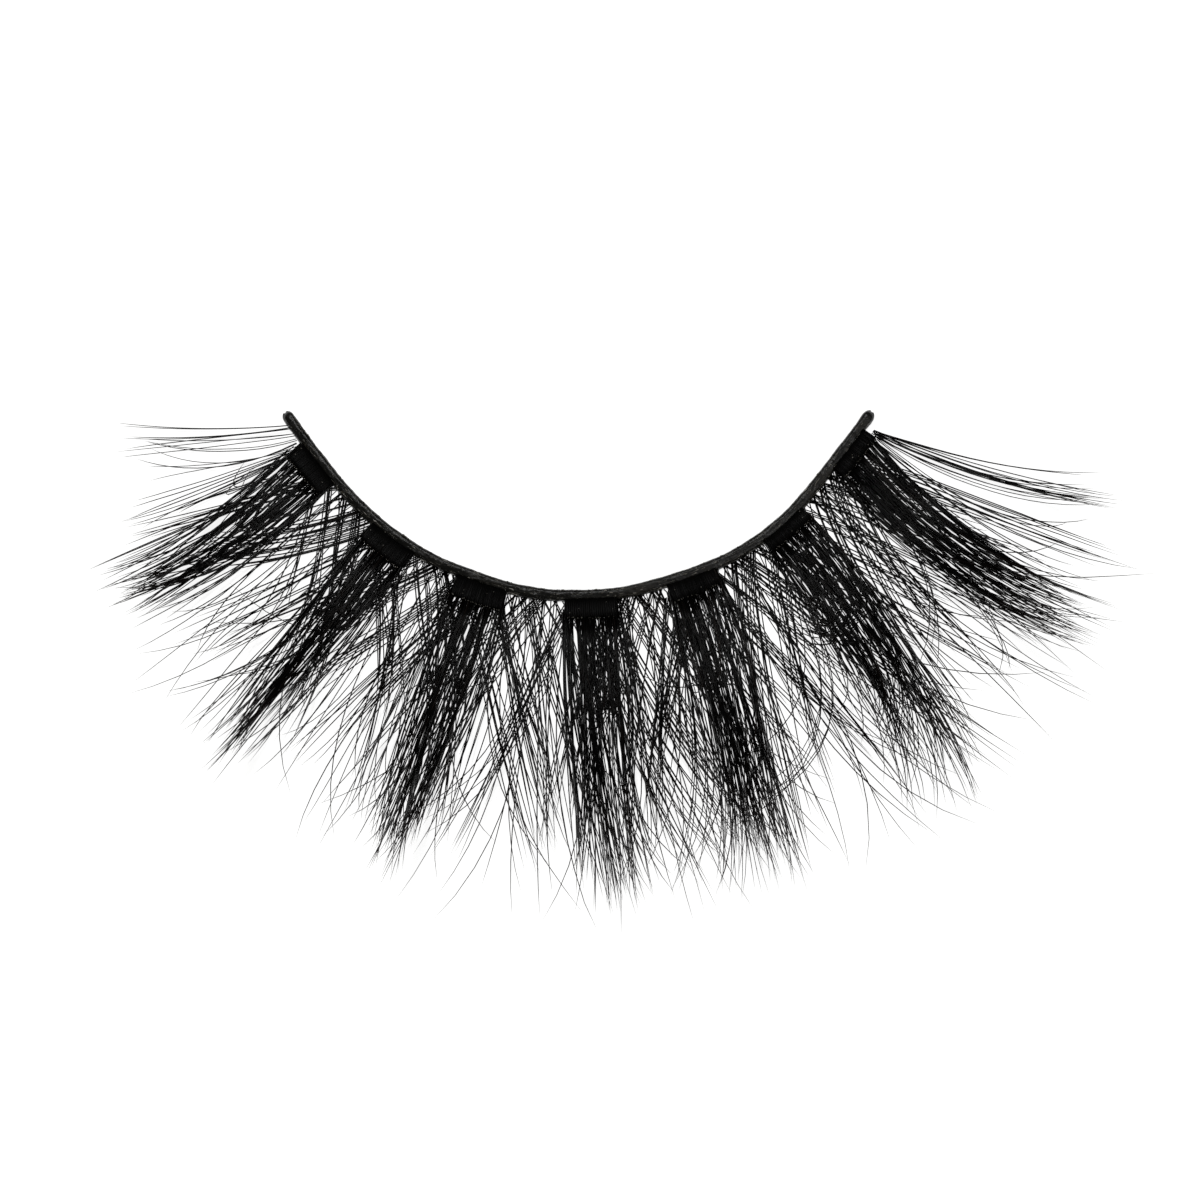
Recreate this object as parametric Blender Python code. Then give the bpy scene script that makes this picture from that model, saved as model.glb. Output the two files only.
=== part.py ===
"""False eyelash strip for one eye: a thin curved band that carries seven fans of curled fibres.

The strip lies on its band as on a table. +X runs along the strip to its outer corner, the fibres
point to -Y, and their tips curl up to +Z. The origin is the middle of the band's underside.

A place on the strip is given as (s, r): s is the distance along the band's centre line from its
middle, and r the distance from that line, straight out towards the fibres' tips.
"""

from collections import namedtuple

import bmesh
import bpy
import numpy as np

MM = 0.001

# The band's centre line is y = BAND_DEPTH * |x / HALF_SPAN| ** BAND_POWER.
HALF_SPAN = 14.2 * MM
BAND_DEPTH = 8.95 * MM
BAND_POWER = 2.25
BAND_WIDTH = 0.58 * MM
BAND_THICKNESS = 0.50 * MM
BAND_CHAMFER = 0.09 * MM
BAND_NOSE = 0.40 * MM
BAND_NOSE_TURNS_DEG = (0.0, 35.0, 65.0)
BAND_SEGMENTS = 41
LINE_SAMPLES = 4001

# All fibres share one curl: flat out to CURL_START, then rising with the square of the distance.
CURL_START = 4.0 * MM
FAN_RISE = 41.0
NET_RISE = 35.0
LOCK_RISE_SHARE = 0.06
TAPER_POWER = 2.5

SEAT_GAP = 0.15 * MM
ROOT_NEAR = BAND_WIDTH / 2 + SEAT_GAP
ROOT_BITE = 0.25 * MM

# Root tab of a fan: the block of glue that holds the fan's fibres together.
TAB_WIDTH = 2.50 * MM
TAB_FAR = 1.12 * MM
TAB_LOW = 0.08 * MM
TAB_HIGH = 0.64 * MM

# Locks of a fan
LOCKS_PER_FAN = 7
LOCK_LOW = 0.42 * MM
LOCK_THICKNESS = 0.18 * MM
LOCK_WIDTH = 0.29 * MM
LOCK_TIP = 0.07 * MM
LOCK_SHORTENING = 0.17
LOCK_SHORTENING_POWER = 1.5
LOCK_ROW_INSET = 0.32 * MM
LOCK_BEND_SHARE = 0.25
LOCK_STEPS = 8

# Crossing strands between two fans
STRAND_ROOT_SHARES = (-0.85, -0.52, -0.19, 0.14)
STRAND_WIDTH = 0.17 * MM
STRAND_THICKNESS = 0.16 * MM
STRAND_TIP = 0.06 * MM
STRAND_TRAVEL = 2.00 * MM
STRAND_TIP_TRAVEL = 0.10 * MM
STRAND_BEND_AT = 5.2 * MM
STRAND_SHORTENING = 0.05
STRAND_STEPS = 7
UPPER_STRAND_LIFT = 0.07 * MM
NET_BAR_FAR = 0.65 * MM
NET_BAR_LOW = 0.02 * MM
NET_BAR_HIGH = 0.30 * MM

# Loose strands at the two corners
WISP_LOW = 0.30 * MM
WISP_WIDTH = 0.15 * MM
WISP_THICKNESS = 0.14 * MM
WISP_TIP = 0.06 * MM
WISP_BEND_SHARES = (0.45, 0.55)
WISP_STEPS = 7

# One row for each fan, in mm: the middle of its root tab, how far its locks bend sideways and
# their tips shift, the tips' spread to each side, and the reach of its middle lock.
Fan = namedtuple("Fan", "centre bend_shift tip_shift tip_spread reach")
FANS = (
    Fan(-14.70, 0.00, -0.15, 1.15, 13.0),
    Fan(-9.50, 0.15, 0.35, 0.80, 15.2),
    Fan(-4.70, 0.10, 0.30, 0.80, 16.4),
    Fan(0.55, 0.25, 0.50, 1.00, 17.2),
    Fan(5.50, -0.70, -1.10, 1.20, 17.6),
    Fan(10.60, -0.35, -1.60, 1.10, 17.7),
    Fan(15.50, -0.90, -0.70, 1.15, 16.4),
)

# One row for each net between two fans, in mm: how far its left and its right strands reach.
Net = namedtuple("Net", "left_reach right_reach")
NETS = (
    Net(9.4, 10.0),
    Net(11.2, 11.6),
    Net(12.4, 13.0),
    Net(13.0, 13.4),
    Net(13.8, 14.0),
    Net(12.6, 12.8),
)

# One row for each corner strand, in mm: where it leaves its root bar, and where its tip is.
Wisp = namedtuple("Wisp", "root_s tip_s tip_r")
INNER_WISP = (
    Wisp(-16.85, -20.8, 7.2),
    Wisp(-16.50, -20.2, 8.0),
    Wisp(-16.20, -18.0, 9.4),
)
OUTER_WISP = (
    Wisp(17.10, 20.9, 11.6),
    Wisp(17.15, 20.2, 12.0),
    Wisp(17.05, 19.0, 11.4),
)

Material = namedtuple("Material", "name colour roughness")
BAND_BLACK = Material("black cotton band", (0.012, 0.012, 0.010), 0.45)
FIBRE_BLACK = Material("black polyester fibre", (0.010, 0.008, 0.007), 0.38)


def centre_line_tables():
    """The centre line's arc position at close steps of x, measured from the band's middle."""
    x = np.linspace(-HALF_SPAN, HALF_SPAN, LINE_SAMPLES)
    y = BAND_DEPTH * np.abs(x / HALF_SPAN) ** BAND_POWER
    s = np.concatenate([[0.0], np.cumsum(np.hypot(np.diff(x), np.diff(y)))])
    return x, s - s[-1] / 2


LINE_X, LINE_S = centre_line_tables()
HALF_LENGTH = LINE_S[-1]


def plan(s, r):
    """The x and y of the places (s, r). Past its two ends the centre line runs on straight."""
    s = np.asarray(s, float)
    x = np.interp(s, LINE_S, LINE_X)
    share = np.abs(x / HALF_SPAN)
    y = BAND_DEPTH * share**BAND_POWER
    slope = np.sign(x) * BAND_DEPTH / HALF_SPAN * BAND_POWER * share ** (BAND_POWER - 1)
    steep = np.hypot(1.0, slope)
    beyond = s - np.clip(s, -HALF_LENGTH, HALF_LENGTH)
    along = np.stack([np.ones_like(slope), slope], -1) / steep[..., None]
    out = np.stack([slope, -np.ones_like(slope)], -1) / steep[..., None]
    middle = np.stack([x, y], -1)
    return middle + beyond[..., None] * along + np.asarray(r, float)[..., None] * out


def curl(r, rise):
    """Height of the shared curl at the distance r from the centre line."""
    return rise * np.clip(r - CURL_START, 0.0, None) ** 2


def loft(name, rings):
    """One closed body through a row of point rings, with a flat cap on its first and last ring."""
    count, around = rings.shape[:2]
    corners = [tuple(point) for point in rings.reshape(-1, 3)]
    faces = [tuple(range(around)), tuple(range((count - 1) * around, count * around))]
    for ring in range(count - 1):
        for k in range(around):
            near, far = ring * around, (ring + 1) * around
            faces.append((near + k, near + (k + 1) % around, far + (k + 1) % around, far + k))
    mesh = bpy.data.meshes.new(name)
    mesh.from_pydata(corners, [], faces)
    shape = bmesh.new()
    shape.from_mesh(mesh)
    bmesh.ops.recalc_face_normals(shape, faces=shape.faces)
    shape.to_mesh(mesh)
    shape.free()
    obj = bpy.data.objects.new(name, mesh)
    bpy.context.scene.collection.objects.link(obj)
    return obj


def block(name, s_near, s_far, r_range, z_range, steps=4):
    """A block that follows the band's curve from s_near to s_far, with a rectangular section."""
    s = np.linspace(s_near, s_far, steps + 1)
    corners = [(r, z) for r, z in zip(np.repeat(r_range, 2), (*z_range, *z_range[::-1]))]
    rings = np.stack([ring_side(s, r, z) for r, z in corners], axis=1)
    return loft(name, rings)


def ring_side(s, r, z):
    """The points (s, r) at the height z, for one corner of every ring of a block."""
    flat = plan(s, np.full_like(s, r))
    return np.column_stack([flat, np.full_like(s, z)])


def bar(name, root, bend, tip, low, rise, width, thickness, tip_size, steps):
    """A tapering curled bar. In (s, r) its line is the parabola from root to tip that bend pulls."""
    t = np.linspace(0.0, 1.0, steps + 1)[:, None]
    line = (1 - t) ** 2 * np.array(root) + 2 * t * (1 - t) * np.array(bend) + t**2 * np.array(tip)
    s, r = line.T
    height = low + thickness / 2 + curl(r, rise)
    centre = np.column_stack([plan(s, r), height])
    ahead = np.gradient(centre, axis=0)
    side = np.column_stack([ahead[:, 1], -ahead[:, 0], np.zeros(len(s))])
    side /= np.linalg.norm(side, axis=1)[:, None]
    up = np.cross(side, ahead)
    up /= np.linalg.norm(up, axis=1)[:, None]
    taper = t**TAPER_POWER
    wide = side * (width * (1 - taper) + tip_size * taper) / 2
    high = up * (thickness * (1 - taper) + tip_size * taper) / 2
    under = centre - high
    over = centre + high
    return loft(name, np.stack([under - wide, under + wide, over + wide, over - wide], axis=1))


def fused(body, pieces):
    """Joins the pieces to the body by a Boolean union and removes them."""
    holder = bpy.data.collections.new(body.name + "_pieces")
    bpy.context.scene.collection.children.link(holder)
    for piece in pieces:
        bpy.context.scene.collection.objects.unlink(piece)
        holder.objects.link(piece)
    union = body.modifiers.new("union", "BOOLEAN")
    union.operation = "UNION"
    union.operand_type = "COLLECTION"
    union.collection = holder
    union.solver = "EXACT"
    graph = bpy.context.evaluated_depsgraph_get()
    whole = bpy.data.meshes.new_from_object(body.evaluated_get(graph))
    body.modifiers.clear()
    body.data = whole
    for piece in pieces:
        bpy.data.objects.remove(piece)
    bpy.data.collections.remove(holder)
    return body


def painted(obj, material):
    """Gives the object its material."""
    made = bpy.data.materials.get(material.name) or bpy.data.materials.new(material.name)
    made.use_nodes = True
    shader = made.node_tree.nodes["Principled BSDF"]
    shader.inputs["Base Color"].default_value = (*material.colour, 1.0)
    shader.inputs["Roughness"].default_value = material.roughness
    shader.inputs["Metallic"].default_value = 0.0
    obj.data.materials.clear()
    obj.data.materials.append(made)
    return obj


def band():
    """The band: an eight-sided section along the centre line, drawn in to a round nose at each end."""
    nose_turns = np.sin(np.radians(BAND_NOSE_TURNS_DEG))
    nose = HALF_LENGTH - BAND_NOSE * (1 - nose_turns)
    long_run = np.linspace(-nose[0], nose[0], BAND_SEGMENTS + 1)
    s = np.concatenate([-nose[:0:-1], long_run, nose[1:]])
    nose_size = np.sqrt(1 - nose_turns[1:] ** 2)
    size = np.concatenate([nose_size[::-1], np.ones_like(long_run), nose_size])
    half_r, half_z, cut = BAND_WIDTH / 2, BAND_THICKNESS / 2, BAND_CHAMFER
    section = (
        (-half_r, half_z - cut), (-half_r, cut - half_z), (cut - half_r, -half_z), (half_r - cut, -half_z),
        (half_r, cut - half_z), (half_r, half_z - cut), (half_r - cut, half_z), (cut - half_r, half_z),
    )
    sides = []
    for r, z in section:
        drawn_in = z * size if z > 0 else np.full_like(size, z)
        sides.append(np.column_stack([plan(s, r * size), drawn_in + half_z]))
    return painted(loft("lash_band", np.stack(sides, 1)), BAND_BLACK)


def fan(number, row):
    """One fan: its root tab with the locks fused into it. Every second lock curls a little higher."""
    centre, bend_shift, tip_shift, tip_spread, reach = (value * MM for value in row)
    tab = block(f"fan_{number}", centre - TAB_WIDTH / 2, centre + TAB_WIDTH / 2,
                (ROOT_NEAR, TAB_FAR), (TAB_LOW, TAB_HIGH))
    locks = []
    for k, place in enumerate(np.linspace(-1.0, 1.0, LOCKS_PER_FAN)):
        row_half = (TAB_WIDTH - LOCK_ROW_INSET) / 2
        bend_half = row_half + (tip_spread - row_half) * LOCK_BEND_SHARE
        root_s = centre + place * row_half
        bend_s = centre + bend_shift + place * bend_half
        tip_s = centre + tip_shift + place * tip_spread
        tip_r = reach * (1 - LOCK_SHORTENING * abs(place) ** LOCK_SHORTENING_POWER)
        root_r = TAB_FAR - ROOT_BITE
        rise = FAN_RISE * (1 + LOCK_RISE_SHARE * (1 if k % 2 else -1))
        locks.append(bar(f"lock_{k}", (root_s, root_r), (bend_s, (root_r + tip_r) / 2),
                         (tip_s, tip_r), LOCK_LOW, rise,
                         LOCK_WIDTH, LOCK_THICKNESS, LOCK_TIP, LOCK_STEPS))
    return painted(fused(tab, locks), FIBRE_BLACK)


def net(number, row, left_fan, right_fan):
    """The crossing strands between two fans, fused where they cross and to a bar along the band."""
    left_edge = left_fan.centre * MM + TAB_WIDTH / 2 + SEAT_GAP
    right_edge = right_fan.centre * MM - TAB_WIDTH / 2 - SEAT_GAP
    middle = (left_edge + right_edge) / 2
    half_bar = (right_edge - left_edge) / 2
    root_bar = block(f"net_{number}", left_edge, right_edge,
                     (ROOT_NEAR, NET_BAR_FAR), (NET_BAR_LOW, NET_BAR_HIGH))
    root_r = (ROOT_NEAR + NET_BAR_FAR) / 2
    reaches = (row.left_reach * MM, row.right_reach * MM)
    strands = []
    for way, reach in zip((-1, 1), reaches):
        lift = UPPER_STRAND_LIFT if way < 0 else 0.0
        for k, share in enumerate(STRAND_ROOT_SHARES):
            root_s = middle + way * half_bar * share
            bend_s = root_s + way * STRAND_TRAVEL
            tip_s = bend_s + way * STRAND_TIP_TRAVEL
            tip_r = reach * (1 - STRAND_SHORTENING * k)
            strands.append(bar(f"strand_{way}_{k}", (root_s, root_r), (bend_s, STRAND_BEND_AT),
                               (tip_s, tip_r), lift, NET_RISE,
                               STRAND_WIDTH, STRAND_THICKNESS, STRAND_TIP, STRAND_STEPS))
    return painted(fused(root_bar, strands), FIBRE_BLACK)


def wisp(name, rows, s_near, s_far):
    """The loose strands at one corner, fused to a short bar along the band."""
    root_bar = block(name, s_near, s_far, (ROOT_NEAR, TAB_FAR), (TAB_LOW, TAB_HIGH), steps=2)
    root_r = TAB_FAR - ROOT_BITE
    strands = []
    for k, row in enumerate(rows):
        root_s, tip_s, tip_r = (value * MM for value in row)
        bend_s = root_s + (tip_s - root_s) * WISP_BEND_SHARES[0]
        bend_r = root_r + (tip_r - root_r) * WISP_BEND_SHARES[1]
        strands.append(bar(f"strand_{k}", (root_s, root_r), (bend_s, bend_r), (tip_s, tip_r),
                           WISP_LOW, NET_RISE, WISP_WIDTH, WISP_THICKNESS, WISP_TIP, WISP_STEPS))
    return painted(fused(root_bar, strands), FIBRE_BLACK)


def main():
    for obj in list(bpy.data.objects):
        bpy.data.objects.remove(obj)
    band()
    for number, row in enumerate(FANS, 1):
        fan(number, row)
    for number, row in enumerate(NETS, 1):
        net(number, row, FANS[number - 1], FANS[number])
    first_tab = FANS[0].centre * MM - TAB_WIDTH / 2
    last_tab = FANS[-1].centre * MM + TAB_WIDTH / 2
    wisp("inner_wisp", INNER_WISP, -HALF_LENGTH + BAND_NOSE, first_tab - SEAT_GAP)
    wisp("outer_wisp", OUTER_WISP, last_tab + SEAT_GAP, HALF_LENGTH - BAND_NOSE / 2)


main()
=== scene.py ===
import math

import bpy
import numpy as np
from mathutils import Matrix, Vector


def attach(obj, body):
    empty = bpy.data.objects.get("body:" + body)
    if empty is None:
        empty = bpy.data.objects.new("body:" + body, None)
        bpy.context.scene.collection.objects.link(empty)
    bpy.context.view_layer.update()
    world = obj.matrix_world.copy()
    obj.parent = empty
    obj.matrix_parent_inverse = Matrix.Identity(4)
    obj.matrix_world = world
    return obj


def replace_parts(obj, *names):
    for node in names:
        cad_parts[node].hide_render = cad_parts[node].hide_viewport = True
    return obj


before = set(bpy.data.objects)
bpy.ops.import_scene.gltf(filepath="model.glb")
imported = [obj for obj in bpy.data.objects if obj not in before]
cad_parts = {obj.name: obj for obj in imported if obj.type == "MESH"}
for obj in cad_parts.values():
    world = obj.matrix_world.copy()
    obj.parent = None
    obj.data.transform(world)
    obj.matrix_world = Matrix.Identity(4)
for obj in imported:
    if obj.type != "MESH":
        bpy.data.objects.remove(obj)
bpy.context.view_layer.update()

# A place on the strip is (s, r) in mm: s along the band's centre line from its middle towards the
# outer corner, r straight out from that line towards the fibres' tips. Heights are in mm too.
MM = 0.001

# Each fan and each net has its own seeded random numbers, so a change in one leaves the rest as
# they are. The seed is one of these plus its number. The wisps and the glue share the last one.
FAN_SEED = 1010
NET_SEED = 1100
REST_SEED = 300

# The band's centre line: y = BAND_DEPTH * |x / HALF_SPAN| ** BAND_POWER
HALF_SPAN = 14.2
BAND_DEPTH = 8.95
BAND_POWER = 2.25

CURL_START = 4.0
FAN_RISE = 0.041
NET_RISE = 0.035
TAB_WIDTH = 2.50

# The seven fans: s of the root tab's middle, r of the tab's far edge, sideways shift of the fan's
# bend and the r that it is drawn to, sideways shift and half spread of the tips, r that the longest
# fibres reach, number of fibres.
FANS = (
    (-14.70, 1.25, 0.35, 7.0, -0.45, 1.40, 13.6, 80),
    (-9.50, 1.38, 0.15, 8.1, 0.45, 0.65, 16.2, 94),
    (-4.70, 1.23, 0.05, 8.6, 0.25, 0.65, 17.0, 96),
    (0.55, 1.18, 0.20, 9.0, 0.45, 1.25, 17.8, 102),
    (5.50, 1.03, -0.45, 8.2, -1.05, 1.30, 18.4, 98),
    (10.60, 1.08, -0.20, 9.3, -2.05, 1.25, 18.4, 104),
    (15.50, 0.88, -1.05, 5.5, -0.45, 1.30, 17.6, 110),
)
# The net in each space between two fans: r that the fibres leaning left and right reach, how
# steeply each of these lean as they leave the band, and how many loose ones run through it.
NETS = (
    (12.6, 13.0, 0.58, 0.84, 16),
    (13.4, 13.8, 0.66, 0.72, 16),
    (14.0, 15.6, 0.65, 0.58, 22),
    (15.0, 15.6, 0.48, 0.48, 28),
    (16.0, 16.2, 0.66, 0.46, 26),
    (15.4, 14.2, 0.70, 0.48, 26),
)

# A fan's thin locks, the points that they gather in on each side of its middle, the shares of its
# fibres that are short and that are loose, and the fibres beside each end of its root tab.
LOCKS = 34
POINTS = 3
SHORT_SHARE = 0.26
LOOSE_SHARE = 0.12
EDGE_FIBRES = 8

# A net's fibres on one side at most, the share of close steps between them, the share of close and
# fine steps together, the r that they start at, and the r that they are drawn to before they
# straighten.
NET_FIBRES = 60
CLOSE_SHARE = 0.40
BUNDLE_SHARE = 0.77
NET_ROOT = 0.16
NET_TURN = 3.7

# The real fibres are 0.04 to 0.07 mm thick. Three sides are enough at that size.
FIBRE_RADIUS = 0.0345
FIBRE_STEPS = 12
FIBRE_SIDES = 3


def linear(hex_colour):
    """An sRGB hex value as linear red, green, blue and alpha."""
    channels = [int(hex_colour[i:i + 2], 16) / 255 for i in (1, 3, 5)]
    return (*[c / 12.92 if c <= 0.04045 else ((c + 0.055) / 1.055) ** 2.4 for c in channels], 1.0)


# The strip's plan
LINE_X = np.linspace(-HALF_SPAN, HALF_SPAN, 4001)
LINE_Y = BAND_DEPTH * np.abs(LINE_X / HALF_SPAN) ** BAND_POWER
LINE_S = np.concatenate([[0.0], np.cumsum(np.hypot(np.diff(LINE_X), np.diff(LINE_Y)))])
LINE_S -= LINE_S[-1] / 2
HALF_LENGTH = LINE_S[-1]


def plan(s, r):
    """x and y in mm of the places (s, r): the point of the centre line at s, plus r times the
    line's normal. Past its two ends the line runs on straight."""
    x = np.interp(s, LINE_S, LINE_X)
    share = np.abs(x / HALF_SPAN)
    slope = np.sign(x) * BAND_DEPTH / HALF_SPAN * BAND_POWER * share ** (BAND_POWER - 1)
    steep = np.hypot(1.0, slope)
    beyond = s - np.clip(s, -HALF_LENGTH, HALF_LENGTH)
    px = x + (beyond + r * slope) / steep
    py = BAND_DEPTH * share**BAND_POWER + (beyond * slope - r) / steep
    return px, py


def curl(r, rise):
    """Height in mm of the curl: rise times the square of the distance past CURL_START."""
    return rise * np.clip(r - CURL_START, 0.0, None) ** 2


def waves(s, longest, seed, count=7):
    """An uneven line between about -1 and 1: a sum of sines of seeded phase along s, the first
    with the wavelength longest in mm and each next one 1.7 times shorter and 1.35 times lower."""
    phase = np.random.default_rng(seed).uniform(0, 2 * np.pi, count)
    k = np.arange(count)
    size = 1.35 ** -k
    angle = 2 * np.pi * np.asarray(s)[..., None] / (longest / 1.7**k) + phase
    return (np.sin(angle) * size).sum(-1) / (size.sum() * 0.6)


def place(name, points, faces, material, slot, uv=None):
    """A piece from points in mm, riding on the strip. uv holds one pair for each point."""
    mesh = bpy.data.meshes.new(name)
    mesh.from_pydata((np.asarray(points) * MM).tolist(), [], faces)
    if uv is not None:
        loops = np.empty(len(mesh.loops), int)
        mesh.loops.foreach_get("vertex_index", loops)
        layer = mesh.uv_layers.new(name="lash")
        layer.data.foreach_set("uv", np.asarray(uv)[loops].ravel())
    mesh.polygons.foreach_set("use_smooth", np.ones(len(mesh.polygons), bool))
    mesh.materials.append(material)
    piece = bpy.data.objects.new(name, mesh)
    bpy.context.scene.collection.objects.link(piece)
    if slot:
        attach(piece, "root")
    return piece


def closed_loft(rings):
    """Points and faces of a closed body through rings (count, around, 3), with a flat cap on each
    end. The rings turn so that the faces point outwards."""
    count, around = rings.shape[:2]
    ring, k = np.meshgrid(np.arange(count - 1) * around, np.arange(around), indexing="ij")
    ring, k = ring.ravel(), k.ravel()
    after = (k + 1) % around
    quads = np.stack([ring + k, ring + after, ring + around + after, ring + around + k], -1)
    caps = [list(range(around))[::-1], list(range((count - 1) * around, count * around))]
    return rings.reshape(-1, 3), quads.tolist() + caps


# Materials
def node(tree, kind, inputs=(), links=(), **settings):
    """Adds a node, sets its settings and its inputs' values, and links other sockets to it."""
    made = tree.nodes.new(kind)
    for key, value in settings.items():
        setattr(made, key, value)
    for key, value in dict(inputs).items():
        made.inputs[key].default_value = value
    for key, socket in dict(links).items():
        tree.links.new(socket, made.inputs[key])
    return made


def ramp_stops(ramp, stops):
    """Sets a colour ramp's stops from pairs of position and colour."""
    elements = ramp.color_ramp.elements
    while len(elements) < len(stops):
        elements.new(0.5)
    for element, (position, colour) in zip(elements, stops):
        element.position = position
        element.color = linear(colour)


def new_material(name):
    material = bpy.data.materials.new(name)
    material.use_nodes = True
    return material, material.node_tree, material.node_tree.nodes["Principled BSDF"]


def drawn_polyester():
    """Heat-drawn and crimped PBT polyester, dyed black in the melt. Each fibre has its own depth of
    black, warms to brown where it thins, and carries a soft line of light along its round side.
    The lightest few fibres also get a painted sheen: a lighter base colour for their highlight line."""
    material, tree, shader = new_material("drawn black polyester fibre")
    uv = node(tree, "ShaderNodeUVMap", uv_map="lash")
    parts = node(tree, "ShaderNodeSeparateXYZ", links={"Vector": uv.outputs["UV"]})
    tone_and_sheen = node(tree, "ShaderNodeValToRGB", links={"Fac": parts.outputs["X"]})
    # Stops up to 0.8 are the fibres' random depth of black. The stops from 0.93 up are painted sheen:
    # about one fibre in fourteen gets a lighter, warmer base colour that stands in for a highlight line.
    ramp_stops(tone_and_sheen, ((0.0, "#020101"), (0.8, "#060403"), (0.93, "#120d0b"), (1.0, "#2c2420")))
    thin = node(tree, "ShaderNodeMapRange", {"From Min": 0.65, "From Max": 1.0, "To Max": 0.5},
                {"Value": parts.outputs["Y"]})
    warm = node(tree, "ShaderNodeMix", {"B": linear("#2b1b16")},
                {"Factor": thin.outputs["Result"], "A": tone_and_sheen.outputs["Color"]}, data_type="RGBA")
    tree.links.new(warm.outputs["Result"], shader.inputs["Base Color"])
    where = node(tree, "ShaderNodeTexCoord")
    streak = node(tree, "ShaderNodeTexNoise", {"Scale": 900.0, "Detail": 2.0},
                  {"Vector": where.outputs["Object"]})
    gloss = node(tree, "ShaderNodeMapRange", {"To Min": 0.24, "To Max": 0.42},
                 {"Value": streak.outputs["Fac"]})
    tree.links.new(gloss.outputs["Result"], shader.inputs["Roughness"])
    shader.inputs["Specular IOR Level"].default_value = 0.14
    shader.inputs["IOR"].default_value = 1.57
    return material


def sealed_thread():
    """Black cotton thread soaked and sealed with latex glue. The sealed skin is a satin near-black
    with a green cast, and where glue has dried on it in rough patches it greys and dulls. Its fine
    pale specks are partly crumbs of dried glue and partly painted glints."""
    material, tree, shader = new_material("glue-sealed black cotton thread")
    where = node(tree, "ShaderNodeTexCoord")
    patch = node(tree, "ShaderNodeTexNoise", {"Scale": 520.0, "Detail": 5.0, "Roughness": 0.62},
                 {"Vector": where.outputs["Object"]})
    residue = node(tree, "ShaderNodeMapRange", {"From Min": 0.52, "From Max": 0.72},
                   {"Value": patch.outputs["Fac"]})
    colour = node(tree, "ShaderNodeMix", {"A": linear("#100f0a"), "B": linear("#2e2a21")},
                  {"Factor": residue.outputs["Result"]}, data_type="RGBA")
    # Fine pale specks: partly dried glue crumbs, partly painted glints in the base colour.
    fleck_and_glint = node(tree, "ShaderNodeTexNoise", {"Scale": 4200.0, "Detail": 4.0, "Roughness": 0.7},
                 {"Vector": where.outputs["Object"]})
    crust = node(tree, "ShaderNodeMapRange", {"From Min": 0.60, "From Max": 0.70, "To Max": 0.7},
                 {"Value": fleck_and_glint.outputs["Fac"]})
    speckled_and_glinting = node(tree, "ShaderNodeMix", {"B": linear("#5d574b")},
                    {"Factor": crust.outputs["Result"], "A": colour.outputs["Result"]}, data_type="RGBA")
    tree.links.new(speckled_and_glinting.outputs["Result"], shader.inputs["Base Color"])
    gloss = node(tree, "ShaderNodeMapRange", {"To Min": 0.34, "To Max": 0.62},
                 {"Value": residue.outputs["Result"]})
    tree.links.new(gloss.outputs["Result"], shader.inputs["Roughness"])
    grain = node(tree, "ShaderNodeTexNoise", {"Scale": 6500.0, "Detail": 3.0},
                 {"Vector": where.outputs["Object"]})
    both = node(tree, "ShaderNodeMath", {1: 0.5},
                {0: patch.outputs["Fac"], 2: grain.outputs["Fac"]}, operation="MULTIPLY_ADD")
    bump = node(tree, "ShaderNodeBump", {"Strength": 0.6, "Distance": 0.00004},
                {"Height": both.outputs["Value"]})
    tree.links.new(bump.outputs["Normal"], shader.inputs["Normal"])
    shader.inputs["Specular IOR Level"].default_value = 0.45
    return material


def fused_roots():
    """Fibre roots pressed side by side and fused with black hot glue. Each root shows as a fine
    rib, and the glue between them has a wetter gloss than the fibres have."""
    material, tree, shader = new_material("fused black fibre roots")
    where = node(tree, "ShaderNodeTexCoord")
    mottle = node(tree, "ShaderNodeTexNoise", {"Scale": 1400.0, "Detail": 4.0},
                  {"Vector": where.outputs["Object"]})
    colour = node(tree, "ShaderNodeValToRGB", links={"Fac": mottle.outputs["Fac"]})
    ramp_stops(colour, ((0.3, "#020201"), (0.62, "#040303"), (0.8, "#0c0a08")))
    tree.links.new(colour.outputs["Color"], shader.inputs["Base Color"])
    gloss = node(tree, "ShaderNodeMapRange", {"To Min": 0.26, "To Max": 0.5},
                 {"Value": mottle.outputs["Fac"]})
    tree.links.new(gloss.outputs["Result"], shader.inputs["Roughness"])
    bump = node(tree, "ShaderNodeBump", {"Strength": 0.5, "Distance": 0.00003},
                {"Height": mottle.outputs["Fac"]})
    tree.links.new(bump.outputs["Normal"], shader.inputs["Normal"])
    shader.inputs["Specular IOR Level"].default_value = 0.10
    return material


def glue_with_painted_glints():
    """Clear latex lash glue dried to a film and to tiny beads: a milky grey that catches the light
    in glints, and lets some of the black below it through. Its pale grey to near-white base colour
    is partly that milky grey and partly painted glints."""
    material, tree, shader = new_material("dried clear lash glue with painted glints")
    where = node(tree, "ShaderNodeTexCoord")
    glint_cloud = node(tree, "ShaderNodeTexNoise", {"Scale": 2600.0, "Detail": 3.0},
                 {"Vector": where.outputs["Object"]})
    # The ramp's pale grey to near-white stops are partly the milky grey of dried glue and partly painted
    # glints.
    colour = node(tree, "ShaderNodeValToRGB", links={"Fac": glint_cloud.outputs["Fac"]})
    ramp_stops(colour, ((0.35, "#54514a"), (0.6, "#8f8b82"), (0.8, "#cdc9c0")))
    tree.links.new(colour.outputs["Color"], shader.inputs["Base Color"])
    shader.inputs["Roughness"].default_value = 0.22
    shader.inputs["IOR"].default_value = 1.48
    return material


FIBRE = drawn_polyester()
THREAD = sealed_thread()
ROOTS = fused_roots()
GLUE_PAINTED_GLINTS = glue_with_painted_glints()


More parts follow.
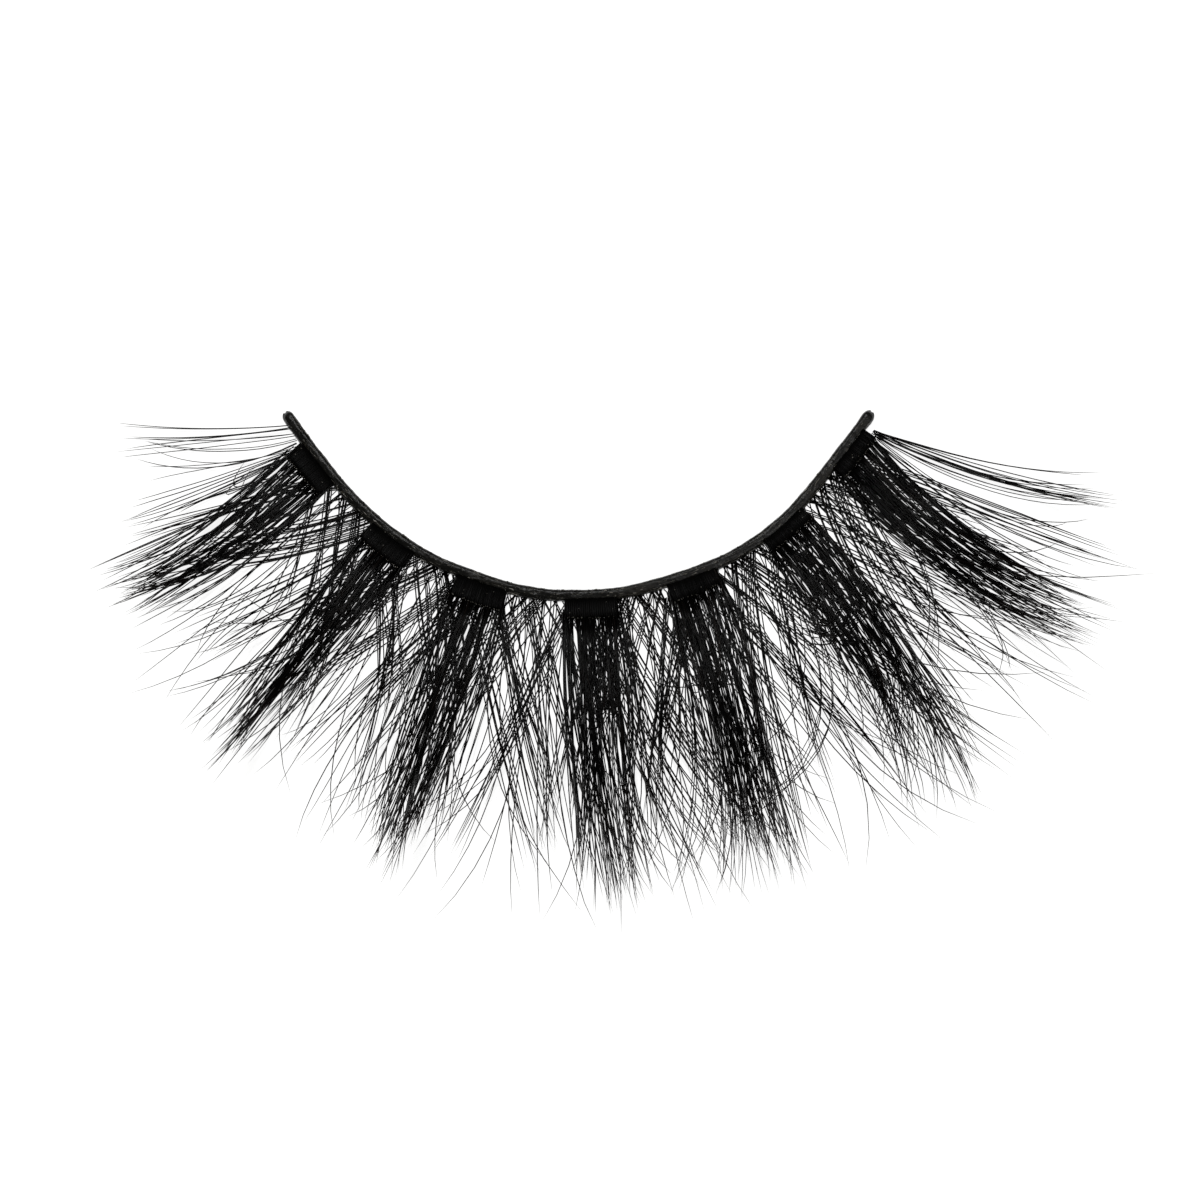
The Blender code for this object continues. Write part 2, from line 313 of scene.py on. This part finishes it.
# Fibres
def rows(root_s, root_r, bend_s, bend_r, tip_s, tip_r, low, rise, radius, hook):
    """One row for each fibre, from arrays or single numbers, with a random value in the last column that
    sets its tone and, for the lightest few, a painted sheen.
    """
    columns = np.broadcast_arrays(root_s, root_r, bend_s, bend_r, tip_s, tip_r, low, rise, radius, hook)
    columns = np.stack([np.asarray(c, float) for c in columns], -1)
    return np.column_stack([columns, RNG.random(len(columns))])


def fibre_piece(name, fibres):
    """A piece of round tapering fibres, one for each row.

    In (s, r) a fibre is the parabola (1-t)^2 root + 2t(1-t) bend + t^2 tip, plus hook * t^4 in s.
    Its height is low + radius + curl(r). Around that line it is a tube whose radius falls off as
    (1 - t^8)^0.8 to a point."""
    root_s, root_r, bend_s, bend_r, tip_s, tip_r, low, rise, radius, hook, tone_and_sheen = fibres.T[..., None]
    count = len(fibres)
    t = np.linspace(0.0, 1.0, FIBRE_STEPS + 1)
    s = (1 - t) ** 2 * root_s + 2 * t * (1 - t) * bend_s + t**2 * tip_s + hook * t**4
    r = (1 - t) ** 2 * root_r + 2 * t * (1 - t) * bend_r + t**2 * tip_r
    x, y = plan(s, r)
    line = np.stack([x, y, low + radius + curl(r, rise)], -1)
    ahead = np.gradient(line, axis=1)
    ahead /= np.linalg.norm(ahead, axis=2, keepdims=True)
    side = np.cross(ahead, (0.0, 0.0, 1.0))
    side /= np.linalg.norm(side, axis=2, keepdims=True)
    up = np.cross(side, ahead)
    turn = (np.arange(FIBRE_SIDES) * 2 * np.pi / FIBRE_SIDES + np.pi / 2)[:, None]
    size = (radius * (1 - t**8) ** 0.8)[:, :-1, None, None]
    around = np.cos(turn) * side[:, :-1, None] + np.sin(turn) * up[:, :-1, None]
    rings = line[:, :-1, None] + size * around
    points = np.concatenate([rings.reshape(count, -1, 3), line[:, -1:]], axis=1)
    per_fibre = points.shape[1]
    ring, k = np.meshgrid(np.arange(FIBRE_STEPS - 1) * FIBRE_SIDES, np.arange(FIBRE_SIDES), indexing="ij")
    ring, k = ring.ravel(), k.ravel()
    after = (k + 1) % FIBRE_SIDES
    quads = np.stack([ring + k, ring + FIBRE_SIDES + k, ring + FIBRE_SIDES + after, ring + after], -1)
    last = (FIBRE_STEPS - 1) * FIBRE_SIDES
    k = np.arange(FIBRE_SIDES)
    cone = np.stack([last + k, np.full_like(k, last + FIBRE_SIDES), last + (k + 1) % FIBRE_SIDES], -1)
    start = np.arange(count)[:, None, None] * per_fibre
    faces = ((quads + start).reshape(-1, 4).tolist() + (cone + start).reshape(-1, 3).tolist()
             + (k[None] + start).reshape(-1, FIBRE_SIDES).tolist())
    along = np.concatenate([np.repeat(t[:-1], FIBRE_SIDES), [1.0]])
    # u is the fibre's random value: its tone, and for the lightest few a painted sheen colour.
    uv = np.stack([np.repeat(tone_and_sheen[:, 0], per_fibre), np.tile(along, count)], -1)
    return place(name, points.reshape(-1, 3), faces, FIBRE, "fibre", uv)


def fan_rows(centre, far, bend_shift, bend_r, tip_shift, spread, reach, count):
    """The fibres of one fan, in LOCKS thin locks. The locks leave the root tab side by side and
    cross each other at small angles, so that light shows between them in short dashes, and several
    end together in one point. Some fibres are short and only fill the root, and some leave their
    lock altogether. A place across the fan is u, from -1 to 1."""
    lock_u = np.linspace(-1, 1, LOCKS) + RNG.normal(0, 0.03, LOCKS)
    drift = 0.38 * lock_u + RNG.normal(0, 0.38, LOCKS).clip(-0.8, 0.8)
    point = np.round(POINTS * drift).astype(int)
    lock_tip = (0.65 * point + 0.35 * POINTS * drift) / POINTS
    lock_short = RNG.exponential(0.045, 4 * POINTS)[point + 2 * POINTS]
    lock_sway = RNG.normal(0, 0.24, LOCKS)

    # Each fibre's lock: every lock has one fibre, and the rest favour the middle of the fan.
    share = 1 - 0.6 * lock_u**2
    lock = RNG.choice(LOCKS, count, p=share / share.sum())
    lock[:LOCKS] = np.arange(LOCKS)
    loose = RNG.random(count) < LOOSE_SHARE
    stray = RNG.normal(0, 1.0, count).clip(-1.4, 1.4) * loose

    row_half = TAB_WIDTH / 2 - 0.09
    tip_u = lock_tip[lock]
    root_s = centre + lock_u[lock] * row_half + RNG.normal(0, 0.05, count)
    bend_s = (centre + bend_shift + (0.5 * lock_u[lock] + 0.5 * tip_u) * (row_half + spread) / 2
              + lock_sway[lock] + RNG.normal(0, 0.05, count) + 0.35 * stray)
    tip_s = centre + tip_shift + tip_u * spread + RNG.normal(0, 0.09, count) + stray
    length = np.where(RNG.random(count) < SHORT_SHARE, RNG.uniform(0.15, 0.30, count),
                      1.01 - lock_short[lock] - 0.18 * RNG.random(count) ** 1.5)
    tip_r = reach * (1 - 0.16 * np.abs(tip_u).clip(0, 1.3) ** 1.5) * length
    return rows(root_s, far - RNG.uniform(0.2, 0.4, count),
                bend_s, bend_r * RNG.normal(1, 0.06, count), tip_s, tip_r,
                0.28 + 0.24 * RNG.random(count), FAN_RISE * (1 + RNG.normal(0, 0.05, count)),
                FIBRE_RADIUS * RNG.uniform(0.82, 1.12, count),
                RNG.normal(0, 0.15, count) + RNG.normal(0, 0.6, count).clip(-0.7, 0.7) * loose)


def edge_rows(centre, far, bend_shift, bend_r, tip_shift, reach):
    """Fibres beside each end of a root tab and over its corner, first those at its left end. They
    leave it at different heights and lean in over the fan."""
    side = np.repeat([-1.0, 1.0], EDGE_FIBRES)
    count = len(side)
    root_s = centre + side * (TAB_WIDTH / 2 + RNG.normal(-0.06, 0.09, count))
    tip_s = root_s + tip_shift - side * RNG.uniform(0.0, 1.6, count)
    root_r = RNG.uniform(0.2, 0.8, count) * far
    bend_s = root_s + bend_shift + side * RNG.normal(0.1, 0.15, count)
    return rows(root_s, root_r, bend_s, bend_r * RNG.uniform(0.6, 1.0, count),
                tip_s, reach * RNG.uniform(0.5, 0.9, count), RNG.uniform(0.25, 0.6, count), FAN_RISE,
                FIBRE_RADIUS * RNG.uniform(0.8, 1.1, count), RNG.normal(0, 0.2, count))


def net_rows(left, right, reach_left, reach_right, slope_left, slope_right, loose):
    """The crossed fibres between the middles of two fans: bundles of parallel fibres that lean left
    or right off the band, cross into diamonds, and straighten towards their tips. The steps from
    fibre to fibre in a bundle are either close or fine, and a wide step ends it. Others run loose
    among them."""
    left_edge, right_edge = left[0] + 0.2, right[0] - 0.2
    middle, width = (left_edge + right_edge) / 2, right_edge - left_edge
    parts = []
    for way, reach, slope in ((-1, reach_left, slope_left), (1, reach_right, slope_right)):
        kind = RNG.permutation(np.linspace(0, 1, NET_FIBRES))
        fine, wide = RNG.uniform(0.090, 0.125, NET_FIBRES), RNG.uniform(0.28, 0.46, NET_FIBRES)
        step = np.select([kind < CLOSE_SHARE, kind < BUNDLE_SHARE], [0.060, fine], wide)
        bundle = np.cumsum(kind >= BUNDLE_SHARE)
        start = np.cumsum(step) - width / 2 - 0.3
        bundle, start = bundle[start < width / 2], start[start < width / 2]
        count = len(start)
        root_s = middle + way * start
        turn_r = NET_TURN * RNG.normal(1, 0.09, NET_FIBRES)[bundle] * (1 + RNG.normal(0, 0.015, count))
        travel = slope * NET_TURN * RNG.normal(1, 0.08, NET_FIBRES)[bundle]
        travel *= 1 + RNG.normal(0, 0.015, count)
        tip_s = root_s + way * (travel + RNG.normal(0.9, 0.35, NET_FIBRES)[bundle]
                                + RNG.normal(0, 0.1, count))
        tip_r = reach * (0.52 + 0.52 * RNG.random(NET_FIBRES)[bundle] + RNG.normal(0, 0.06, count))
        parts.append(rows(root_s, NET_ROOT, root_s + way * travel, turn_r, tip_s, tip_r,
                          0.02 + 0.08 * (way < 0) + RNG.uniform(0, 0.04, count),
                          NET_RISE * (1 + RNG.normal(0, 0.06, NET_FIBRES)[bundle]),
                          FIBRE_RADIUS * RNG.uniform(0.92, 1.18, count), RNG.normal(0, 0.15, count)))
    sway = np.where(RNG.random(loose) < 0.65, 0.7, 1.9)
    root_s = middle + RNG.uniform(-0.33, 0.33, loose) * width
    bend_s = root_s + RNG.normal(0, 0.7, loose)
    tip_s = root_s + RNG.normal(0, 1, loose).clip(-1.8, 1.8) * sway
    parts.append(rows(root_s, NET_ROOT, bend_s, 7.0, tip_s,
                      max(reach_left, reach_right) * RNG.uniform(0.8, 1.18, loose), 0.06, NET_RISE,
                      FIBRE_RADIUS * RNG.uniform(0.75, 1.0, loose), RNG.normal(0, 0.5, loose)))
    return np.concatenate(parts)


def sheaf_rows(count, root, bend, tip, root_spread, tip_spread, low=0.34, rise=NET_RISE, radius=0.9):
    """Fibres that run side by side from root by bend to tip, all three given as (s, r). They start
    root_spread apart to each side, and end tip_spread apart with tips of uneven length."""
    u = RNG.uniform(-1, 1, count)
    v = RNG.normal(0, 1, count)
    tip_s = tip[0] + u * tip_spread + RNG.normal(0, 0.15, count)
    return rows(root[0] + u * root_spread, root[1], bend[0] + u * (root_spread + tip_spread) / 2,
                bend[1] + 0.2 * v, tip_s, tip[1] * (1 - np.abs(RNG.normal(0, 0.08, count))),
                low + RNG.uniform(0, 0.1, count), rise,
                FIBRE_RADIUS * radius * RNG.uniform(0.8, 1.1, count), RNG.normal(0, 0.25, count))


fan_parts = []
for number, row in enumerate(FANS, 1):
    RNG = np.random.default_rng(FAN_SEED + number)
    fan_parts.append([fan_rows(*row), edge_rows(*row[:5], row[6])])
# The strip's outer end is trimmed: only three fibres stay beside its last tab's outer corner.
fan_parts[-1][1] = fan_parts[-1][1][:EDGE_FIBRES + 3]
net_parts = []
for number, row in enumerate(NETS, 1):
    RNG = np.random.default_rng(NET_SEED + number)
    net_parts.append([net_rows(FANS[number - 1], FANS[number], *row)])
RNG = np.random.default_rng(REST_SEED)

# The wisps, one sheaf a line: number of fibres, root, bend, tip, then as sheaf_rows names them.
inner_wisp = [
    sheaf_rows(2, (-17.05, 0.1), (-19.0, 3.5), (-22.0, 7.6), 0.05, 0.15, 0.20, radius=0.8),
    sheaf_rows(3, (-16.80, 0.1), (-18.6, 3.5), (-21.2, 7.6), 0.12, -0.25, 0.20, radius=0.8),
    sheaf_rows(3, (-16.40, 0.1), (-18.2, 3.7), (-20.6, 8.0), 0.15, 0.30, 0.20, radius=0.8),
    sheaf_rows(2, (-16.25, 0.3), (-17.5, 3.6), (-20.4, 7.2), 0.10, 0.20, 0.20, radius=0.8),
    sheaf_rows(2, (-16.10, 0.4), (-16.9, 4.9), (-20.2, 7.4), 0.10, 0.15, 0.25, radius=0.8),
    sheaf_rows(2, (-15.95, 0.5), (-17.4, 4.8), (-19.4, 7.8), 0.10, -0.40, 0.25, radius=0.8),
]
outer_wisp = [
    sheaf_rows(2, (16.95, 0.5), (18.7, 6.4), (20.9, 12.6), 0.06, 0.12, radius=0.8),
    sheaf_rows(2, (17.00, 0.5), (18.5, 6.2), (20.5, 12.7), 0.06, -0.20, radius=0.8),
    sheaf_rows(4, (16.90, 0.5), (18.2, 6.4), (20.2, 13.2), 0.10, 0.20, radius=0.85),
    sheaf_rows(4, (16.95, 0.6), (18.0, 6.5), (20.1, 12.8), 0.12, -0.30, radius=0.85),
    sheaf_rows(4, (16.85, 0.6), (17.7, 6.4), (20.4, 12.0), 0.15, -0.25, radius=0.85),
    sheaf_rows(3, (16.80, 0.7), (17.5, 6.6), (20.1, 11.8), 0.10, 0.25, radius=0.8),
    sheaf_rows(2, (16.80, 0.8), (17.2, 7.6), (19.7, 12.9), 0.10, 0.25, radius=0.8),
    sheaf_rows(1, (16.75, 0.8), (16.3, 10.4), (18.5, 11.9), 0.10, 0.20, radius=0.8),
]
# Sheaves that stand out: the left side of the first fan, points between the fans, and long loose
# fibres that cross the fans. Each line is the fan's place in fan_parts, number of fibres, root,
# bend, tip, and spread of the tips.
LOOSE = (
    (0, 4, (-15.85, 0.9), (-17.0, 5.0), (-17.7, 9.8), 0.40),
    (0, 4, (-15.75, 0.9), (-16.7, 5.2), (-17.3, 10.4), 0.50),
    (1, 1, (-8.6, 0.9), (-8.9, 5.0), (-12.5, 10.8), 0.10),
    (1, 3, (-9.6, 0.9), (-9.7, 8.0), (-11.4, 14.6), 0.35),
    (1, 1, (-8.4, 0.9), (-7.4, 6.8), (-12.9, 8.2), 0.10),
    (3, 2, (-0.6, 0.9), (-1.4, 6.5), (-4.2, 13.4), 0.20),
    (2, 9, (-3.5, 0.9), (-1.7, 6.8), (-0.9, 13.6), 0.30),
    (3, 6, (-2.2, 0.7), (-0.9, 6.5), (-0.8, 13.9), 0.45),
    (4, 6, (4.1, 0.7), (2.9, 4.5), (2.3, 13.2), 0.30),
    (2, 1, (-3.6, 0.9), (-3.5, 8.0), (-0.9, 14.7), 0.10),
    (3, 3, (1.6, 0.9), (1.9, 8.0), (3.5, 16.2), 0.40),
    (4, 4, (4.4, 0.9), (4.0, 9.0), (2.3, 17.0), 0.40),
    (4, 14, (5.0, 0.9), (4.6, 9.0), (3.5, 17.4), 0.35),
    (4, 3, (6.2, 0.9), (4.6, 9.0), (6.0, 17.0), 0.30),
    (5, 5, (9.4, 0.9), (8.4, 11.5), (3.6, 13.4), 0.45),
    (5, 1, (9.5, 0.9), (8.0, 9.2), (3.9, 10.4), 0.10),
    (5, 3, (11.3, 0.9), (11.3, 7.0), (13.6, 12.4), 0.30),
    (6, 3, (14.5, 0.9), (14.3, 7.5), (10.2, 12.0), 0.25),
    (6, 2, (14.6, 0.9), (14.0, 12.5), (12.0, 14.1), 0.20),
    (6, 9, (14.7, 0.8), (13.2, 9.0), (14.2, 16.2), 0.40),
    (6, 3, (14.5, 0.9), (12.9, 9.5), (15.0, 16.5), 0.25),
    (6, 1, (15.0, 0.9), (14.6, 9.5), (16.9, 13.1), 0.10),
    (6, 1, (16.6, 0.9), (16.1, 8.0), (17.2, 15.4), 0.15),
    (6, 2, (16.6, 0.9), (16.2, 8.0), (16.7, 12.9), 0.25),
    (6, 1, (16.6, 0.9), (16.4, 9.5), (18.5, 11.8), 0.05),
)
for fan, count, root, bend, tip, spread in LOOSE:
    fan_parts[fan].append(sheaf_rows(count, root, bend, tip, 0.12, spread, 0.45, FAN_RISE, 0.85))

for number, parts in enumerate(fan_parts, 1):
    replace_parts(fibre_piece(f"fan_{number}_fibres", np.concatenate(parts)), f"fan_{number}")
for number, parts in enumerate(net_parts, 1):
    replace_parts(fibre_piece(f"net_{number}_fibres", np.concatenate(parts)), f"net_{number}")
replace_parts(fibre_piece("inner_wisp_fibres", np.concatenate(inner_wisp)), "inner_wisp")
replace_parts(fibre_piece("outer_wisp_fibres", np.concatenate(outer_wisp)), "outer_wisp")


# Band, root tabs and glue
# The band's section as pairs (r, z): a thread that stands a little above its lip on the fibres' side.
BAND_SECTION = np.array([
    (-0.290, 0.12), (-0.285, 0.25), (-0.268, 0.35), (-0.225, 0.44), (-0.155, 0.49), (-0.080, 0.50),
    (-0.015, 0.485), (0.050, 0.465), (0.110, 0.445), (0.165, 0.42), (0.215, 0.38), (0.255, 0.32),
    (0.283, 0.24), (0.290, 0.12), (0.250, 0.03), (0.180, 0.0), (-0.180, 0.0), (-0.250, 0.03),
])
# The length of the band's rounded ends, and how far they run past the centre line.
BAND_NOSE = 0.36
BAND_PAST_LINE = 0.22
# How far the band strays from its line: pairs (s, shift towards the fibres).
BAND_STRAY = np.array([
    (-17.4, -0.06), (-14.4, 0.03), (-12.0, 0.16), (-8.2, 0.10), (-7.2, 0.06), (-5.1, -0.12), (-2.7, 0.0),
    (0.0, 0.0), (2.2, -0.04), (4.6, -0.16), (7.1, 0.05), (9.0, 0.17), (11.0, 0.17), (12.2, 0.10),
    (14.0, -0.08), (17.4, -0.14),
])


def band_stray(s):
    """The band's shift at s: the pairs of BAND_STRAY joined by a smoothed line."""
    steps = np.linspace(-1.2, 1.2, 9)
    return np.mean([np.interp(s + step, *BAND_STRAY.T) for step in steps], axis=0)


def thread_band():
    """The band: BAND_SECTION carried along the line, drawn in to a half round at both ends as
    sqrt(1 - d^2), with an uneven skin of +-0.02 mm."""
    nose = BAND_NOSE
    tip = HALF_LENGTH + BAND_PAST_LINE
    turns = np.linspace(0, np.pi / 2, 9)[1:]
    middle = np.linspace(nose - tip, tip - nose, 900)
    ends = tip - nose + nose * np.sin(turns[:-1])
    s = np.concatenate([-ends[::-1], middle, ends])
    size = np.concatenate([np.cos(turns[:-1])[::-1], np.ones_like(middle), np.cos(turns[:-1])])[:, None]
    r0, z0 = BAND_SECTION.T
    skin = np.stack([waves(s, 2.0 + 0.1 * k, 40 + k // 2, 8) for k in range(len(r0))], -1)
    r = band_stray(s)[:, None] + (r0 * (1 + 0.05 * waves(s, 3.0, 11)[:, None]) + 0.012 * skin) * size
    z = z0 * (1 - (1 - size) * (z0 > 0.25)) + 0.018 * skin * (z0 > 0.2) * size
    x, y = plan(np.broadcast_to(s[:, None], r.shape), r)
    points, faces = closed_loft(np.stack([x, y, z], -1))
    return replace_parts(place("thread_band", points, faces, THREAD, "band"), "lash_band")


# Where the strings of dried glue run on the band, and the heights they lie at.
GLUE_STRINGS = ((-0.23, 0.44), (-0.13, 0.495), (-0.02, 0.485), (0.09, 0.45), (0.18, 0.41), (0.25, 0.33))


def glue_string(index, r0, z0):
    """A string of dried glue along the band: a thin tube whose radius follows an uneven line, so that
    it swells into specks and crusts, and sinks into the thread between them."""
    s = np.linspace(-HALF_LENGTH + 0.6, HALF_LENGTH - 0.6, 2400)
    crust = np.clip(waves(s, 0.9, 70 + index, 6) + 0.7 * waves(s, 7.0, 80 + index, 4) - 0.35, 0, 1)
    radius = 0.004 + 0.030 * crust**1.3
    centre_r = band_stray(s) + r0 + 0.03 * waves(s, 1.4, 90 + index)
    turn = np.linspace(0, 2 * np.pi, 6, endpoint=False)
    r = centre_r[:, None] + radius[:, None] * np.cos(turn)
    z = z0 - 0.012 + 0.018 * crust[:, None] + radius[:, None] * np.sin(turn)
    x, y = plan(np.broadcast_to(s[:, None], r.shape), r)
    points, faces = closed_loft(np.stack([x, y, z], -1)[:, ::-1])
    # The glue's pale colour paints glints along the band.
    return place(f"glue_string_{index}", points, faces, GLUE_PAINTED_GLINTS, "band")


# A tab's section as pairs: the share of the way from its near edge to its far edge, and z.
TAB_NEAR = 0.18
TAB_SECTION = np.array([
    (0.00, 0.26), (0.00, 0.42), (0.04, 0.48), (0.12, 0.52), (0.24, 0.55), (0.40, 0.57), (0.60, 0.59),
    (0.80, 0.59), (0.90, 0.57), (0.97, 0.53), (1.00, 0.46), (1.00, 0.34), (0.96, 0.27), (0.50, 0.24),
])
RIB_PITCH = 0.10
# The shares of a tab's half width at which its ends and its far corners begin to round, and the
# shares that they take to do so.
END_FROM, END_OVER = 0.955, 0.047
CORNER_FROM, CORNER_OVER = 0.84, 0.161


def root_tab(number, centre, tab_far):
    """One root tab: TAB_SECTION carried along the line, with a rib for each root as the square
    root of |sin| across the tab, a far edge that steps in and out from rib to rib, and corners
    rounded by a quarter circle."""
    s = centre + np.linspace(-TAB_WIDTH / 2, TAB_WIDTH / 2, 201)
    away = np.abs(s - centre) / (TAB_WIDTH / 2)
    size = np.sqrt(np.clip(1.0 - np.clip((away - END_FROM) / END_OVER, 0, 1) ** 2, 0.05, 1))[:, None]
    rib = np.sqrt(np.abs(np.sin(np.pi * s / RIB_PITCH)))[:, None] - 0.6
    uneven = RNG.normal(0, 1, 60)[np.floor((s - s[0]) / RIB_PITCH).astype(int)][:, None]
    r0, z0 = TAB_SECTION.T
    far = np.clip((r0 - 0.83) / 0.12, 0, 1)
    corner = 1 - np.sqrt(1 - np.clip((away[:, None] - CORNER_FROM) / CORNER_OVER, 0, 1) ** 2)
    r0 = TAB_NEAR + r0 * (tab_far - TAB_NEAR) * (1 - 0.35 * corner)
    top = np.clip((z0 - 0.3) / 0.15, 0, 1)
    near_shift = band_stray(s)[:, None] * np.clip((0.6 - r0) / 0.4, 0, 1)
    r = r0 + far * (0.035 * rib + 0.030 * uneven) + near_shift
    z = 0.26 + (z0 - 0.26 + top * (0.025 * rib + 0.008 * uneven)) * size
    x, y = plan(np.broadcast_to(s[:, None], r.shape), r)
    points, faces = closed_loft(np.stack([x, y, z], -1))
    return place(f"fan_{number}_root_tab", points, faces, ROOTS, "fibre")


# Places for a bead along a tab's far edge, and the share of them that has one.
EDGE_BEADS = 24
BEAD_SHARE = 0.72


def bead_rows(centre, far):
    """Places (s, r, z, radius) of the glue beads on one tab: most sit between the ribs along its
    far edge, and a few lie on its top."""
    between = np.arange(EDGE_BEADS) - EDGE_BEADS // 2
    s = centre + between * RIB_PITCH + RNG.normal(0, 0.02, EDGE_BEADS)
    keep = RNG.random(EDGE_BEADS) < BEAD_SHARE
    edge = np.stack([s, far - 0.02 + RNG.normal(0, 0.02, EDGE_BEADS),
                     0.56 + RNG.normal(0, 0.015, EDGE_BEADS),
                     RNG.uniform(0.018, 0.036, EDGE_BEADS)], -1)[keep]
    few = RNG.integers(2, 5)
    top = np.stack([centre + RNG.uniform(-1.1, 1.1, few), RNG.uniform(0.40, far - 0.15, few),
                    np.full(few, 0.60), RNG.uniform(0.018, 0.034, few)], -1)
    return np.concatenate([edge, top])


def glue_beads():
    """All the glue beads in one piece: each is a six-sided ball of radius times (sin a, cos a)."""
    beads = np.concatenate([bead_rows(*row[:2]) for row in FANS])
    tilt = np.radians([30.0, 70.0, 110.0, 150.0])
    around, rings = 6, len(tilt)
    turn = np.linspace(0, 2 * np.pi, around, endpoint=False)
    ball = np.stack([np.outer(np.sin(tilt), np.cos(turn)), np.outer(np.sin(tilt), np.sin(turn)),
                     np.repeat(np.cos(tilt), around).reshape(rings, around)], -1).reshape(-1, 3)
    ball = np.concatenate([ball, [(0, 0, 1), (0, 0, -1)]])
    x, y = plan(beads[:, 0], beads[:, 1])
    middle = np.stack([x, y, beads[:, 2]], -1)
    points = middle[:, None] + beads[:, 3, None, None] * ball
    k = np.arange(around)
    after = (k + 1) % around
    ring = np.arange(rings - 1)[:, None] * around
    quads = np.stack([ring + k, ring + around + k, ring + around + after, ring + after], -1)
    quads = quads.reshape(-1, 4)
    last, pole = (rings - 1) * around, rings * around
    top = np.stack([np.full(around, pole), k, after], -1)
    bottom = np.stack([np.full(around, pole + 1), last + after, last + k], -1)
    start = np.arange(len(beads))[:, None, None] * len(ball)
    faces = ((quads + start).reshape(-1, 4).tolist() + (top + start).reshape(-1, 3).tolist()
             + (bottom + start).reshape(-1, 3).tolist())
    # The beads' pale colour paints glints along the tabs' far edges and tops.
    return place("glue_beads", points.reshape(-1, 3), faces, GLUE_PAINTED_GLINTS, "band")


thread_band()
for number, row in enumerate(GLUE_STRINGS, 1):
    glue_string(number, *row)
for number, row in enumerate(FANS, 1):
    root_tab(number, *row[:2])
glue_beads()


# Table, light and camera
TABLE_HALF = 1500.0


def table_top():
    """White acrylic lit from below, as on a light table, so that hardly a shadow shows on it."""
    material, tree, shader = new_material("white acrylic light table")
    shader.inputs["Base Color"].default_value = linear("#f2f2f0")
    shader.inputs["Roughness"].default_value = 0.9
    shader.inputs["Specular IOR Level"].default_value = 0.1
    shader.inputs["Emission Color"].default_value = (1, 1, 1, 1)
    shader.inputs["Emission Strength"].default_value = 0.85
    half = TABLE_HALF
    corners = [(-half, -half, 0), (half, -half, 0), (half, half, 0), (-half, half, 0)]
    place("table_top", corners, [(0, 1, 2, 3)], material, None)


def soft_light(name, position, size, power):
    """A round lamp at position in metres, size metres across, aimed at the strip."""
    lamp = bpy.data.lights.new(name, "AREA")
    lamp.shape = "DISK"
    lamp.size = size
    lamp.energy = power
    lamp_object = bpy.data.objects.new(name, lamp)
    lamp_object.location = position
    lamp_object.rotation_euler = (-Vector(position)).to_track_quat("-Z", "Y").to_euler()
    bpy.context.scene.collection.objects.link(lamp_object)


table_top()
soft_light("key_light", (-0.05, 0.13, 0.47), 0.06, 0.45)
soft_light("fill_light", (0.30, -0.20, 0.40), 0.24, 0.3)

world = bpy.data.worlds.new("studio")
world.use_nodes = True
world.node_tree.nodes["Background"].inputs["Color"].default_value = (1.0, 1.0, 1.0, 1.0)
world.node_tree.nodes["Background"].inputs["Strength"].default_value = 0.08
bpy.context.scene.world = world
bpy.context.scene.view_settings.view_transform = "Standard"

# The photo's camera looks down at the strip. What it aims at lies a little to the right of the
# strip's middle and a little down the picture.
CAMERA_ELEVATION = math.radians(77)
VIEW_WIDTH = 57.93 * MM
CAMERA_DISTANCE = 0.35
AIM_RIGHT = 1.01 * MM
AIM_DOWN = 0.145 * MM
camera = bpy.data.cameras.new("camera")
camera.sensor_width = 36.0
camera.lens = 36.0 * CAMERA_DISTANCE / VIEW_WIDTH
camera.clip_start = 0.01
camera.clip_end = 10.0
camera_object = bpy.data.objects.new("camera", camera)
away = Vector((0.0, -math.cos(CAMERA_ELEVATION), math.sin(CAMERA_ELEVATION)))
up = Vector((0.0, math.sin(CAMERA_ELEVATION), math.cos(CAMERA_ELEVATION)))
aim = Vector((AIM_RIGHT, 0.0, 0.0)) - up * AIM_DOWN
camera_object.location = aim + away * CAMERA_DISTANCE
camera_object.rotation_euler = (-away).to_track_quat("-Z", "Y").to_euler()
bpy.context.scene.collection.objects.link(camera_object)
bpy.context.scene.camera = camera_object
